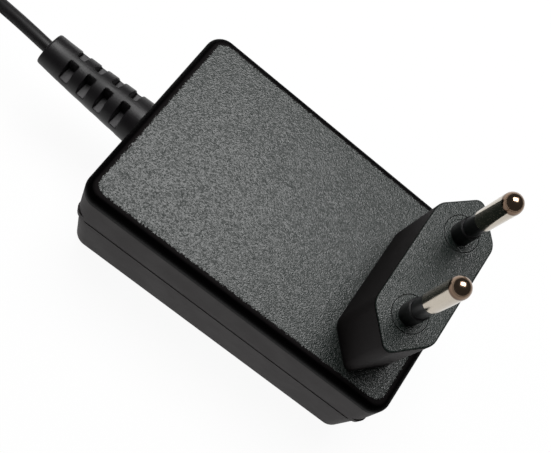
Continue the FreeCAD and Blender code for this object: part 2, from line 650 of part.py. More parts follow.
def board_parts():
    """What stands on the board, by name, placed from the board's edges, the transformer or a neighbour."""
    end_x, side_y = BOARD_HALF_X - EDGE_GAP, BOARD_HALF_Y - EDGE_GAP
    core_end = CORE_X + CORE_HALF_LENGTH + PART_GAP
    can_y = side_y - CAN_RADIUS
    fuse_x = end_x - FUSE_RADIUS
    fuse_y = side_y - FUSE_PITCH / 2 - WIRE_RADIUS
    package_y = side_y - PACKAGE_WIDTH / 2 - LEG_REACH
    rectifier_x = fuse_x - FUSE_RADIUS - PART_GAP - RECTIFIER_LENGTH / 2
    switch_x = rectifier_x - RECTIFIER_LENGTH / 2 - PART_GAP - SWITCH_LENGTH / 2
    output_edge = BARRIER_X - BARRIER_THICKNESS / 2 - PART_GAP
    diode_x = output_edge - DIODE_RADIUS
    diode_y = side_y - DIODE_PITCH / 2 - WIRE_RADIUS
    return {
        "fuse_resistor": axial_part(fuse_x, -fuse_y, 90, FUSE_RADIUS, FUSE_LENGTH, FUSE_PITCH),
        "bridge_rectifier": leaded_package(rectifier_x, -package_y, RECTIFIER_LENGTH, 2),
        "power_switch": leaded_package(switch_x, -package_y, SWITCH_LENGTH, 4),
        "optocoupler": leaded_package(OPTOCOUPLER_X, -package_y, OPTOCOUPLER_LENGTH, 2),
        "input_choke": drum_choke(core_end + INPUT_DRUM_RADIUS, 0, INPUT_DRUM_RADIUS),
        "input_capacitor_a": can_capacitor(end_x - CAN_RADIUS, can_y, ROOM - INPUT_CAN_HEADROOM),
        "input_capacitor_b": can_capacitor(core_end + CAN_RADIUS, can_y, ROOM - INPUT_CAN_HEADROOM),
        "output_capacitor_a": can_capacitor(CAN_RADIUS - end_x, can_y, ROOM - OUTPUT_CAN_HEADROOM),
        "output_capacitor_b": can_capacitor(CAN_RADIUS - end_x, -can_y, ROOM - OUTPUT_CAN_HEADROOM),
        "output_diode": axial_part(diode_x, -diode_y, 90, DIODE_RADIUS, DIODE_LENGTH, DIODE_PITCH),
        "output_choke": drum_choke(output_edge - OUTPUT_DRUM_RADIUS, OUTPUT_DRUM_Y, OUTPUT_DRUM_RADIUS),
        "interference_capacitor": disc_capacitor(OPTOCOUPLER_X, side_y - DISC_THICKNESS / 2),
    }


def resistors():
    """Small resistors beside the transformer, two on each side."""
    x = OPTOCOUPLER_X + DISC_RADIUS + PART_GAP + RESISTOR_PITCH / 2 + WIRE_RADIUS
    y = BOARD_HALF_Y - EDGE_GAP - RESISTOR_RADIUS
    rows = (y, y - 2 * RESISTOR_RADIUS - PART_GAP)
    places = [(x, side * row) for side in (-1, 1) for row in rows]
    return Part.makeCompound([axial_part(x, y, 0, RESISTOR_RADIUS, RESISTOR_LENGTH, RESISTOR_PITCH)
                              for x, y in places])


def coil_point(degrees, z):
    """The middle of the cord in the coil's outermost turn."""
    a = math.radians(degrees)
    return V(COIL_CENTRE[0] + COIL_OUTER * math.cos(a), COIL_CENTRE[1] + COIL_OUTER * math.sin(a), z)


COIL_HALF = COIL_COLUMNS * CORD_RADIUS
COIL_OUTER = COIL_MIDDLE + COIL_HALF - CORD_RADIUS
COIL_TOP = 2 * CORD_RADIUS * COIL_ROWS

# The cord's route from the strain relief to the coil, and from the coil to the DC plug
CORD_ROUTE = [
    CORD_START,
    CORD_BEND,
    V(-64.5, 1.5, 17.5),
    V(-70.5, 2.1, 16.9),
    V(-76.0, 4.4, 15.1),
    V(-81.6, 8.9, 12.3),
    coil_point(COIL_ENTRY, COIL_TOP - CORD_RADIUS),
]
TAIL_ROUTE = [
    coil_point(COIL_EXIT, CORD_RADIUS),
    V(-92.1, 16.5, CORD_RADIUS),
    V(-98.4, 19.6, CORD_RADIUS),
    V(-104.8, 20.5, 1.6),
    V(-111.4, 19.3, 2.6),
    V(-117.1, 15.9, 4.0),
    V(-120.6, 10.7, GRIP_RADIUS),
    V(-121.8, 5.2, GRIP_RADIUS),
]


def coil_solid():
    """The outer shape of the wound cord."""
    section = rounded_outline(COIL_HALF, COIL_TOP / 2, COIL_SOFTEN, 0)
    section.rotate(V(0, 0, 0), X_AXIS, 90)
    section.translate(V(COIL_MIDDLE, 0, COIL_TOP / 2))
    ring = Part.Face(section).revolve(V(0, 0, 0), Z_AXIS, 360)
    ring.translate(V(COIL_CENTRE[0], COIL_CENTRE[1], 0))
    return ring


def cord_tie():
    """A strap round the coil's section, flush with the surface that the coil lies on."""
    low, high = COIL_MIDDLE - COIL_HALF - TIE_SLACK, COIL_MIDDLE + COIL_HALF + TIE_SLACK
    top = COIL_TOP + TIE_SLACK + TIE_THICKNESS
    outer = box((low - TIE_THICKNESS, -TIE_WIDTH / 2, 0), (high + TIE_THICKNESS, TIE_WIDTH / 2, top))
    along = [e for e in outer.Edges if e.BoundBox.YLength > TIE_WIDTH / 2 and e.BoundBox.XLength < 1e-6]
    outer = outer.makeFillet(TIE_BEND + TIE_THICKNESS, along)
    inner = box((low, -TIE_WIDTH, TIE_THICKNESS), (high, TIE_WIDTH, top - TIE_THICKNESS))
    along = [e for e in inner.Edges if e.BoundBox.YLength > TIE_WIDTH and e.BoundBox.XLength < 1e-6]
    inner = inner.makeFillet(TIE_BEND, along)
    strap = outer.cut(inner)
    strap.rotate(V(0, 0, 0), Z_AXIS, TIE_ANGLE)
    strap.translate(V(COIL_CENTRE[0], COIL_CENTRE[1], 0))
    return strap


def plug_place(shape):
    """Moves a DC plug piece, made along +Z from the cord's end, to the end of the cord's tail."""
    end = TAIL_ROUTE[-1]
    ahead = end - TAIL_ROUTE[-2]
    heading = math.degrees(math.atan2(ahead.y, ahead.x))
    shape = shape.copy()
    shape.rotate(V(0, 0, 0), Y_AXIS, 90)
    shape.rotate(V(0, 0, 0), Z_AXIS, heading)
    shape.translate(end)
    return shape


def plug_grip():
    """The moulded grip: a ribbed, tapered neck on the cord and a round body that holds the contacts."""
    body_end = GRIP_NECK_LENGTH + GRIP_LENGTH
    pitch = GRIP_NECK_LENGTH / GRIP_RIBS
    slope = (GRIP_NECK_RADIUS - GRIP_TIP_RADIUS) / GRIP_NECK_LENGTH
    outline = [(0, 0), (GRIP_TIP_RADIUS, 0)]
    for i in range(GRIP_RIBS):
        high = (i + 1) * pitch
        low = high - GRIP_GROOVE_SHARE * pitch
        foot = low + GRIP_GROOVE_SLOPE * pitch
        outline += [(GRIP_TIP_RADIUS + slope * low, low),
                    (GRIP_TIP_RADIUS + slope * low - GRIP_RIB_DEPTH, foot),
                    (GRIP_TIP_RADIUS + slope * high - GRIP_RIB_DEPTH, high),
                    (GRIP_TIP_RADIUS + slope * high, high)]
    outline.pop()
    shoulder, rim = GRIP_NECK_LENGTH + GRIP_ROUND, GRIP_ROUND / 2
    outline += [(GRIP_RADIUS - GRIP_ROUND, GRIP_NECK_LENGTH), (GRIP_RADIUS, shoulder),
                (GRIP_RADIUS, body_end - rim), (GRIP_RADIUS - rim, body_end), (0, body_end)]
    seat = cylinder(BARREL_RADIUS - BARREL_STEP, BARREL_SEAT + CUT_PAST, V(0, 0, body_end - BARREL_SEAT))
    return turned(outline).cut(seat)


def ring_along(inner, outer, low, high):
    hole = cylinder(inner, high - low + 2 * CUT_PAST, V(0, 0, low - CUT_PAST))
    return cylinder(outer, high - low, V(0, 0, low)).cut(hole)


def plug_pieces():
    """The outer contact, the insulating tube and the inner contact of the DC plug."""
    mouth = GRIP_NECK_LENGTH + GRIP_LENGTH
    seat = mouth - BARREL_SEAT
    front = mouth + BARREL_LENGTH
    inner = BARREL_RADIUS - BARREL_STEP - BARREL_WALL
    spring = BORE_RADIUS + SPRING_WALL
    barrel = ring_along(inner, BARREL_RADIUS, mouth, front)
    return {
        "plug_contact": barrel.fuse(ring_along(inner, BARREL_RADIUS - BARREL_STEP, seat, mouth)),
        "plug_insulator": ring_along(spring, inner, seat, front - INSULATOR_SETBACK),
        "plug_spring": ring_along(BORE_RADIUS, spring, seat, front - SPRING_SETBACK),
    }


def lead_points(start, straight, land, way):
    """A lead's points: a straight start, points by their shares of the way to the board, and its end."""
    points = [start, straight]
    for along_x, along_y, down in way:
        points.append(V(straight.x + along_x * (land.x - straight.x),
                        straight.y + along_y * (land.y - straight.y),
                        straight.z + down * (land.z - straight.z)))
    return points + [land]


def mains_lead(name, side):
    """An insulated wire from a pin's tail down to the board."""
    lean = math.radians(PIN_LEAN)
    down = V(0, side * math.sin(lean), -math.cos(lean))
    start = V(BLOCK_X, side * PIN_SPACING / 2, BLOCK_TOP) + down * PIN_TAIL
    land = V(BOARD_HALF_X - MAINS_LAND_INSET, side * MAINS_LAND_Y, BOARD_TOP)
    points = lead_points(start, start + down * MAINS_LEAD_STRAIGHT, land, MAINS_LEAD_WAY)
    return tube(points, MAINS_LEAD_RADIUS, name)


def output_lead(name, side):
    """An insulated wire from the strain relief's collar down to the board."""
    start = COLLAR_SEAT + V(COLLAR_LENGTH, side * OUTPUT_LEAD_Y, 0)
    land = V(start.x + OUTPUT_LAND_REACH, side * OUTPUT_LAND_Y, BOARD_TOP)
    points = lead_points(start, start + X_AXIS * OUTPUT_LEAD_STRAIGHT, land, OUTPUT_LEAD_WAY)
    return tube(points, OUTPUT_LEAD_RADIUS, name)


def insulation_barrier():
    """A thin sheet that stands on the board between the mains side and the output side."""
    half_y = WIDTH / 2 - WALL - BARRIER_GAP - BARRIER_MARGIN
    half_x = BARRIER_THICKNESS / 2
    top = HEIGHT - FRONT_WALL - BARRIER_GAP
    return box((BARRIER_X - half_x, -half_y, BOARD_TOP), (BARRIER_X + half_x, half_y, top))


def build():
    os.makedirs("parts", exist_ok=True)
    save("front_cover", front_cover())
    save("rear_cover", rear_cover())
    for name, foot, lean in pin_places():
        save("contact_pin_" + name, leaned(contact_pin(), foot, lean))
        save("pin_sleeve_" + name, leaned(pin_sleeve(), foot, lean))
        save("pin_bush_" + name, pin_bush(foot, lean))
    save("strain_relief", strain_relief())
    cord = tube(CORD_ROUTE, CORD_RADIUS, "output_cord")
    tail = tube(TAIL_ROUTE, CORD_RADIUS, "cord_tail")
    tie = cord_tie()
    save("output_cord", cord)
    save("cord_tail", tail)
    save("cord_tie", tie)
    save("cord_coil", coil_solid().cut([cord, tail, tie]))
    save("plug_grip", plug_place(plug_grip()))
    for name, shape in plug_pieces().items():
        save(name, plug_place(shape))
    save("circuit_board", circuit_board())
    for name, shape in board_parts().items():
        save(name, shape)
    save("resistors", resistors())
    save("transformer_core_a", core_half(1))
    save("transformer_core_b", core_half(-1))
    save("transformer_bobbin", bobbin())
    save("transformer_winding", winding())
    save("insulation_barrier", insulation_barrier())
    save("mains_lead_a", mains_lead("mains_lead_a", 1))
    save("mains_lead_b", mains_lead("mains_lead_b", -1))
    save("output_lead_a", output_lead("output_lead_a", 1))
    save("output_lead_b", output_lead("output_lead_b", -1))


build()
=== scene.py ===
# %% [markdown]
# # A plug-in power adapter
# A black moulded adapter lies on its flat back. Its plug block and two contact pins point up. A thin cord
# leaves the far end through a tapered strain relief, runs down to the table and ends in a tied coil and a
# DC plug.
#
# The construction is loaded as a fixed frame at its real size. Every piece of it gets its finish here,
# and the few pieces whose look needs softer or finer shapes than the construction has are made anew in
# their place.

# %% Start
import math
import bmesh
import bpy
from mathutils import Matrix, Vector


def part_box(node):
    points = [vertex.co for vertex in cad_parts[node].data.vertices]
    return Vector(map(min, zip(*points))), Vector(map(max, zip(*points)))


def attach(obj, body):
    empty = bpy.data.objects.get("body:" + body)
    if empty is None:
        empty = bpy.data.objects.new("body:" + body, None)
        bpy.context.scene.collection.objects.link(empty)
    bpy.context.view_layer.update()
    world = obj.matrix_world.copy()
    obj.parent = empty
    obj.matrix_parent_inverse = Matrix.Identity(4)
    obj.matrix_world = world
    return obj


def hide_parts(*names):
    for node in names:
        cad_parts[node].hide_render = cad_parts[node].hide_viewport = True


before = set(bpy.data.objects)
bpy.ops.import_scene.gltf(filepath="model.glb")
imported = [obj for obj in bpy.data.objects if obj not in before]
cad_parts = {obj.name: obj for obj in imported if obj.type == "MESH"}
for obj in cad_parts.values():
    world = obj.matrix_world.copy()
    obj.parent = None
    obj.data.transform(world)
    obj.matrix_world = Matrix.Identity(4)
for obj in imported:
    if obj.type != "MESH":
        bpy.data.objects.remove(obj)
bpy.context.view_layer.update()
mm = 0.001

# %% [markdown]
# ## Camera
# The picture is taken from in front of the housing's left side and well above it, and turned, so that the
# cord end is at the upper left. A camera could be aimed by eye. Here its place and its three directions
# come from the outlines of the housing, the block and the pins, solved together, so that the shapes can
# be compared exactly. The centre of the lens isn't the centre of the picture, because the picture is cut
# from a larger one, so the lens is shifted.

# %% Camera
RIGHT = Vector((0.7801, 0.52148, 0.34569))
DOWN = Vector((0.60082, -0.77852, -0.18143))
AHEAD = Vector((0.17451, 0.34923, -0.92064))
CAMERA_PLACE = Vector((-7.686, -67.463, 172.15)) * mm
SENSOR_WIDTH = 36
FOCAL_LENGTH = 53.4885
SHIFT_ASIDE = -0.12613
SHIFT_UP = 0.19691
NEAREST_SEEN = 0.01
FARTHEST_SEEN = 10

camera = bpy.data.objects.new("camera", bpy.data.cameras.new("camera"))
bpy.context.scene.collection.objects.link(camera)
turn = Matrix((RIGHT, -DOWN, -AHEAD)).transposed()
camera.matrix_world = Matrix.Translation(CAMERA_PLACE) @ turn.to_4x4()
camera.data.sensor_width = SENSOR_WIDTH
camera.data.lens = FOCAL_LENGTH
camera.data.shift_x = SHIFT_ASIDE
camera.data.shift_y = SHIFT_UP
camera.data.clip_start = NEAREST_SEEN
camera.data.clip_end = FARTHEST_SEEN
bpy.context.scene.camera = camera
print("camera:", [round(v, 4) for v in camera.location])

# %% [markdown]
# ## A plain finish
# A moulded or coated surface is never quite even: its gloss changes a little from place to place, and it
# has a very fine skin. Both could be painted on pictures, one for each piece. Here they are worked out
# from the place on the object in metres, so no picture has to be laid on any face, and the grain has its
# real size everywhere.
#
# The insulating sleeves of the pins are the first to get it. They are smooth, satin and nearly black.

# %% Finish and noise
EVENLY_SPREAD = (0.3, 0.7)


def new_finish(name, colour, roughness, metallic=0.0, specular=0.5):
    """A material, its nodes, its main shader, and the place on the object in metres."""
    material = bpy.data.materials.new(name)
    material.use_nodes = True
    tree = material.node_tree
    shader = next(n for n in tree.nodes if n.type == "BSDF_PRINCIPLED")
    shader.inputs["Base Color"].default_value = (*colour, 1)
    shader.inputs["Roughness"].default_value = roughness
    shader.inputs["Metallic"].default_value = metallic
    shader.inputs["Specular IOR Level"].default_value = specular
    place = tree.nodes.new("ShaderNodeTexCoord")
    return material, tree, shader, place.outputs["Object"]


def add_noise(tree, place, size, detail=2.0):
    """Random blotches from 0 to 1, with their usual width in metres."""
    noise = tree.nodes.new("ShaderNodeTexNoise")
    noise.inputs["Scale"].default_value = 1 / size
    noise.inputs["Detail"].default_value = detail
    tree.links.new(place, noise.inputs["Vector"])
    return noise.outputs["Fac"]


def spread_over(tree, value, low_from, high_from, low_to, high_to, smooth=True):
    """Maps a value from one range to another and stops at the ends."""
    node = tree.nodes.new("ShaderNodeMapRange")
    node.interpolation_type = "SMOOTHSTEP" if smooth else "LINEAR"
    tree.links.new(value, node.inputs["Value"])
    node.inputs["From Min"].default_value = low_from
    node.inputs["From Max"].default_value = high_from
    node.inputs["To Min"].default_value = low_to
    node.inputs["To Max"].default_value = high_to
    return node.outputs["Result"]


# %% [markdown]
# A plain finish puts these together. Its gloss changes over patches a dozen times wider than its skin, as
# a moulding's does where it was handled or cooled unevenly.

# %% Plain finish and sleeves
SMOOTHEST = 0.02
BROAD_TO_FINE = 12
SLEEVE_BLACK = (0.004, 0.004, 0.0045)


def add_bump(tree, shader, height, depth):
    """Small relief of a given depth in metres."""
    bump = tree.nodes.new("ShaderNodeBump")
    bump.inputs["Strength"].default_value = 1.0
    bump.inputs["Distance"].default_value = depth
    tree.links.new(height, bump.inputs["Height"])
    tree.links.new(bump.outputs["Normal"], shader.inputs["Normal"])


def plain_finish(name, colour, roughness, metallic=0.0, specular=0.5, size=0.8 * mm, depth=0.004 * mm,
                 uneven=0.05):
    """A moulded or coated surface: broad, faint changes of its gloss and a very fine bump."""
    material, tree, shader, place = new_finish(name, colour, roughness, metallic, specular)
    broad = add_noise(tree, place, size * BROAD_TO_FINE)
    glossiest = max(roughness - uneven, SMOOTHEST)
    gloss = spread_over(tree, broad, *EVENLY_SPREAD, glossiest, roughness + uneven)
    tree.links.new(gloss, shader.inputs["Roughness"])
    add_bump(tree, shader, add_noise(tree, place, size), depth)
    return material


def dress(material, *names):
    """Gives pieces of the construction a finish. Their shapes aren't touched."""
    for name in names:
        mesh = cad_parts[name].data
        mesh.materials.clear()
        mesh.materials.append(material)


sleeve = plain_finish("sleeve", SLEEVE_BLACK, 0.34, size=0.5 * mm, depth=0.003 * mm, uneven=0.04)
dress(sleeve, "pin_sleeve_a", "pin_sleeve_b")
print("sleeve finish:", len(sleeve.node_tree.nodes), "nodes")

# %% [markdown]
# ## Vinyl, DC plug and strap
# The strain relief and the jacket of the cord are soft vinyl with a satin skin, blacker than the housing.
# The flat floors of the relief's pockets are rougher, and their greyer colour is painted light: it stands
# for the lamp's sheen on these upward faces, so they get a finish of their own. The DC plug has a moulded
# grip, nickel-plated contacts and a black ring between.
#
# A low specular level says that vinyl reflects less than clear plastic does. A darker colour alone would
# leave the same pale shine on it.

# %% Vinyl and DC plug
RELIEF_BLACK = (0.0045, 0.0038, 0.0045)
# The grey of the pocket floors is painted light: the lamp's sheen on these upward faces, put into their
# colour
FLOOR_PAINTED_SHEEN = (0.02, 0.018, 0.02)
JACKET_BLACK = (0.0045, 0.0038, 0.0042)
GRIP_BLACK = (0.014, 0.014, 0.014)
BRIGHT_NICKEL = (0.72, 0.71, 0.68)
VINYL_SHINE = 0.3

vinyl = plain_finish("relief", RELIEF_BLACK, 0.42, specular=VINYL_SHINE, size=0.5 * mm, depth=0.012 * mm,
                     uneven=0.06)
# The floors' finish carries that painted sheen in its grey
floor_vinyl_painted_sheen = plain_finish("relief_floor_painted_sheen", FLOOR_PAINTED_SHEEN, 0.6, size=0.5 * mm, depth=0.012 * mm)
jacket = plain_finish("jacket", JACKET_BLACK, 0.5, specular=VINYL_SHINE, size=0.5 * mm, depth=0.006 * mm,
                      uneven=0.06)
grip = plain_finish("grip", GRIP_BLACK, 0.45, size=0.4 * mm, depth=0.012 * mm)
plated = plain_finish("plug_metal", BRIGHT_NICKEL, 0.2, metallic=1.0, size=0.5 * mm, depth=0.002 * mm,
                      uneven=0.04)
insulator = plain_finish("insulator", (0.02, 0.02, 0.02), 0.4)
dress(jacket, "output_cord", "cord_coil", "cord_tail")
dress(grip, "plug_grip")
dress(plated, "plug_contact", "plug_spring")
dress(insulator, "plug_insulator")
print("finishes:", [material.name for material in (vinyl, floor_vinyl_painted_sheen, jacket, grip, plated, insulator)])

# %% [markdown]
# The strap that ties the coil is a woven hook-and-loop strip, dull and coarse. The threads could be
# modelled, but they are a millimetre apart and always outside the picture, so two crossing waves raise
# them as bump.

# %% Strap
THREAD = 1.0 * mm
THREAD_HEIGHT = 0.12 * mm
WAVES_IN_SCALE = 20
STRAP_BLACK = (0.012, 0.012, 0.012)
STRAP_DULL = 0.7
STRAP_SHINE = 0.25


def work_out(tree, operation, first, second=None):
    """One step of arithmetic between values or numbers."""
    node = tree.nodes.new("ShaderNodeMath")
    node.operation = operation
    for socket, value in zip(node.inputs, (first, second)):
        if isinstance(value, (int, float)):
            socket.default_value = value
        elif value is not None:
            tree.links.new(value, socket)
    return node.outputs[0]


strap, tree, shader, place = new_finish("strap", STRAP_BLACK, STRAP_DULL, specular=STRAP_SHINE)
weave = []
for way in ("X", "Z"):
    threads = tree.nodes.new("ShaderNodeTexWave")
    threads.bands_direction = way
    threads.inputs["Scale"].default_value = 2 * math.pi / (WAVES_IN_SCALE * THREAD)
    tree.links.new(place, threads.inputs["Vector"])
    weave.append(threads.outputs["Fac"])
add_bump(tree, shader, work_out(tree, "MAXIMUM", *weave), THREAD_HEIGHT)
dress(strap, "cord_tie")
print("strap: threads", THREAD / mm, "mm apart")

# %% [markdown]
# ## Inside
# The board and what stands on it can't be seen in a closed adapter. One grey for all of it would do for
# the picture, but an opened copy should look right too, so each kind of part gets its usual colour and
# gloss.

# %% Inner finishes
CHIP_NODES = ("bridge_rectifier", "power_switch", "optocoupler", "output_diode")
CAN_NODES = ("input_capacitor_a", "input_capacitor_b", "output_capacitor_a", "output_capacitor_b")
FERRITE_NODES = ("transformer_core_a", "transformer_core_b", "input_choke", "output_choke")
INNER_FINISHES = (
    ("board", (0.34, 0.22, 0.09), 0.5, ("circuit_board",)),
    ("ferrite", (0.05, 0.05, 0.053), 0.6, FERRITE_NODES),
    ("package", (0.02, 0.02, 0.022), 0.55, CHIP_NODES),
    ("can_sleeve", (0.02, 0.02, 0.035), 0.3, CAN_NODES),
    ("blue_coating", (0.05, 0.14, 0.38), 0.45, ("interference_capacitor", "fuse_resistor")),
    ("beige_lacquer", (0.45, 0.34, 0.19), 0.5, ("resistors",)),
    ("tape", (0.6, 0.44, 0.04), 0.35, ("transformer_winding",)),
    ("bobbin_plastic", (0.02, 0.02, 0.02), 0.5, ("transformer_bobbin",)),
    ("barrier_sheet", (0.6, 0.6, 0.56), 0.45, ("insulation_barrier",)),
    ("black_insulation", (0.015, 0.015, 0.015), 0.4, ("mains_lead_a", "output_lead_b")),
    ("red_insulation", (0.4, 0.02, 0.015), 0.4, ("mains_lead_b", "output_lead_a")),
)
for name, colour, roughness, inner_nodes in INNER_FINISHES:
    dress(plain_finish(name, colour, roughness), *inner_nodes)
print("inner finishes:", len(INNER_FINISHES))

# %% [markdown]
# ## Contact pins
# The pins are nickel-plated brass with a polished round end. Plugging in wears the plating off that end,
# so the warmer brass shows there. Towards the foot of the ball the brass is painted darker, as painted
# shade, darkest where the ball meets the shaft. Two materials with a border between them would need the
# pin's mesh cut in two. One finish that changes its colour with the height needs no cut, and it also works
# on both pins, because they stand equally high.

# %% Contact pins
PIN_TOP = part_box("contact_pin_a")[1].z
NICKEL = (0.5, 0.45, 0.38)
# Darker brass for the ball's foot: painted shade where the ball meets the shaft
BRASS_PAINTED_SHADE = (0.13, 0.085, 0.06)
BRASS_TOP = (0.30, 0.21, 0.15)
PIN_GLOSS = (0.1, 0.17)
PLATING_END = PIN_TOP - 2.1 * mm
PLATING_SOFT = 0.2 * mm
BALL_FOOT = PIN_TOP - 2.0 * mm
BALL_SHADE_END = PIN_TOP - 0.9 * mm
PIN_CLOUDS = 2 * mm
PIN_SKIN = 0.6 * mm
PIN_BUMP = 0.002 * mm


def blend_colours(tree, share, first, second):
    """first where share is 0, and second where it is 1. Each is a colour or the result of another node."""
    node = tree.nodes.new("ShaderNodeMix")
    node.data_type = "RGBA"
    tree.links.new(share, node.inputs["Factor"])
    for socket, colour in zip((node.inputs[6], node.inputs[7]), (first, second)):
        if isinstance(colour, tuple):
            socket.default_value = (*colour, 1)
        else:
            tree.links.new(colour, socket)
    return node.outputs[2]


def height_of(tree, place):
    """How high a place is above the adapter's back."""
    axes = tree.nodes.new("ShaderNodeSeparateXYZ")
    tree.links.new(place, axes.inputs[0])
    return axes.outputs["Z"]


pin_metal, tree, shader, place = new_finish("pin_metal", NICKEL, PIN_GLOSS[0], metallic=1.0)
height = height_of(tree, place)
worn = spread_over(tree, height, PLATING_END - PLATING_SOFT, PLATING_END + PLATING_SOFT, 0.0, 1.0)
# Painted shade on the ball: darkest at its foot and gone higher up
shade_fades_up_the_ball = spread_over(tree, height, BALL_FOOT, BALL_SHADE_END, 0.0, 1.0)
# The worn brass colour, with the painted shade at the ball's foot
brass = blend_colours(tree, shade_fades_up_the_ball, BRASS_PAINTED_SHADE, BRASS_TOP)
tree.links.new(blend_colours(tree, worn, NICKEL, brass), shader.inputs["Base Color"])
gloss = spread_over(tree, add_noise(tree, place, PIN_CLOUDS), *EVENLY_SPREAD, *PIN_GLOSS)
tree.links.new(gloss, shader.inputs["Roughness"])
add_bump(tree, shader, add_noise(tree, place, PIN_SKIN), PIN_BUMP)
dress(pin_metal, "contact_pin_a", "contact_pin_b")
print("pins: brass from", round(PLATING_END, 4), "to", round(PIN_TOP, 4))

# %% [markdown]
# ## Where the housing is grained, smooth and matt
# The shells are moulded in a flame-retardant black blend. The front face and the plug block's end face
# are spark-eroded in the mould, which leaves small grains that scatter the light and look grey. The
# rounded edge round the front, the block's small edge and the seams round the bushes are smooth and look
# quite black, the block's walls are in between, and the side walls have a fine matt skin.
#
# The shells' meshes could be split by face, but the border of the grain is ragged and runs across faces.
# So one finish does all of it, with a mask from 0 to 1 for each kind of surface. Most masks only need the
# height above the back. The front face's border also needs the distance to a panel with round corners,
# seen from above, and the seams of the bushes need the distance to the pins.

# %% Grained front
END_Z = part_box("front_cover")[1].z
BLOCK_HEIGHT = 18.6 * mm
FRONT_Z = END_Z - BLOCK_HEIGHT
FRONT_LOW = Vector((-32.75, -19.6)) * mm
FRONT_HIGH = Vector((32.6, 20.0)) * mm
FRONT_CORNER = 2.2 * mm
BORDER_GRAIN = 0.3 * mm
BORDER_DETAIL = 3.0
BORDER_RAGGED = 1.3 * mm
BORDER_SOFT = 0.1 * mm
FACE_REACH = 0.1 * mm
LEVEL_SOFT = 0.03 * mm
WALL_BLACK = (0.0155, 0.0112, 0.0115)
WALL_DULL = 0.68
HOUSING_SHINE = 0.3


def between(tree, value, start, end, soft):
    """1 where a value lies between start and end, and 0 outside, with soft borders."""
    rises = spread_over(tree, value, start - soft, start + soft, 0.0, 1.0)
    falls = spread_over(tree, value, end - soft, end + soft, 1.0, 0.0)
    return work_out(tree, "MULTIPLY", rises, falls)


def flat_length(tree, aside, along):
    """The length of a level arrow from its two parts."""
    arrow = tree.nodes.new("ShaderNodeCombineXYZ")
    tree.links.new(aside, arrow.inputs[0])
    tree.links.new(along, arrow.inputs[1])
    length = tree.nodes.new("ShaderNodeVectorMath")
    length.operation = "LENGTH"
    tree.links.new(arrow.outputs[0], length.inputs[0])
    return length.outputs["Value"]


def outside_panel(tree, place, lowest, highest, corner):
    """How far a place is outside a panel with round corners, seen from above. It is negative inside."""
    middle = (lowest + highest) / 2
    half = (highest - lowest) / 2 - Vector((corner, corner))
    axes = tree.nodes.new("ShaderNodeSeparateXYZ")
    tree.links.new(place, axes.inputs[0])
    beyond = []
    for axis, centre, reach in zip((0, 1), middle, half):
        away = work_out(tree, "ABSOLUTE", work_out(tree, "SUBTRACT", axes.outputs[axis], centre))
        beyond.append(work_out(tree, "MAXIMUM", work_out(tree, "SUBTRACT", away, reach), 0.0))
    return work_out(tree, "SUBTRACT", flat_length(tree, *beyond), corner)


housing, tree, shader, place = new_finish("housing", WALL_BLACK, WALL_DULL, specular=HOUSING_SHINE)
level = height_of(tree, place)
ragged = work_out(tree, "SUBTRACT", add_noise(tree, place, BORDER_GRAIN, BORDER_DETAIL), 0.5)
outside = outside_panel(tree, place, FRONT_LOW, FRONT_HIGH, FRONT_CORNER)
outside = work_out(tree, "ADD", outside, work_out(tree, "MULTIPLY", ragged, BORDER_RAGGED))
inside = spread_over(tree, outside, -BORDER_SOFT, BORDER_SOFT, 1.0, 0.0)
at_front = between(tree, level, FRONT_Z - FACE_REACH, FRONT_Z + FACE_REACH, LEVEL_SOFT)
on_front = work_out(tree, "MULTIPLY", at_front, inside)
print("grained front face at", round(FRONT_Z, 4))

# %% [markdown]
# The end of the plug block needs no panel, because the grain there goes right up to the small edge. Only
# the thin seam round each bush stays free of it. Both bushes are the same distance from the middle, so
# one circle serves both when the side of the place is ignored.

# %% Grained end of the plug block
END_GRAIN_FROM = END_Z - 0.17 * mm
END_GRAIN_FULL = END_Z - 0.12 * mm
BUSH_RADIUS = 3.55 * mm
BUSH_SEAM = 0.07 * mm


def around_pins(tree, place):
    """The distance from the axis of the nearer pin."""
    pin_low, pin_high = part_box("pin_bush_a")
    centre = (pin_low + pin_high) / 2
    axes = tree.nodes.new("ShaderNodeSeparateXYZ")
    tree.links.new(place, axes.inputs[0])
    along = work_out(tree, "SUBTRACT", axes.outputs[0], centre.x)
    aside = work_out(tree, "SUBTRACT", work_out(tree, "ABSOLUTE", axes.outputs[1]), abs(centre.y))
    return flat_length(tree, along, aside)


bush_edge = (BUSH_RADIUS - BUSH_SEAM, BUSH_RADIUS + BUSH_SEAM)
ring = between(tree, around_pins(tree, place), *bush_edge, LEVEL_SOFT)
at_end = spread_over(tree, level, END_GRAIN_FROM, END_GRAIN_FULL, 0.0, 1.0)
on_end = work_out(tree, "MULTIPLY", at_end, work_out(tree, "SUBTRACT", 1.0, ring))
grained = work_out(tree, "MAXIMUM", on_front, on_end)
print("grained end of the plug block at", round(END_Z, 4))

# %% [markdown]
# The rest of the front shell's top is smooth: the rounded edge down to where the wall starts, the block's
# small edge, and the seams of the bushes. The block's walls get a part of it. What the grain covers is
# taken out last, so the ragged border belongs to the grain.

# %% Smooth black edges
RIM_DEPTH = 2.8 * mm
RIM_SOFT = 0.25 * mm
END_EDGE = 0.42 * mm
BLOCK_FOOT = 0.2 * mm
BLOCK_SOFT = 0.1 * mm
BLOCK_SHARE = 0.45

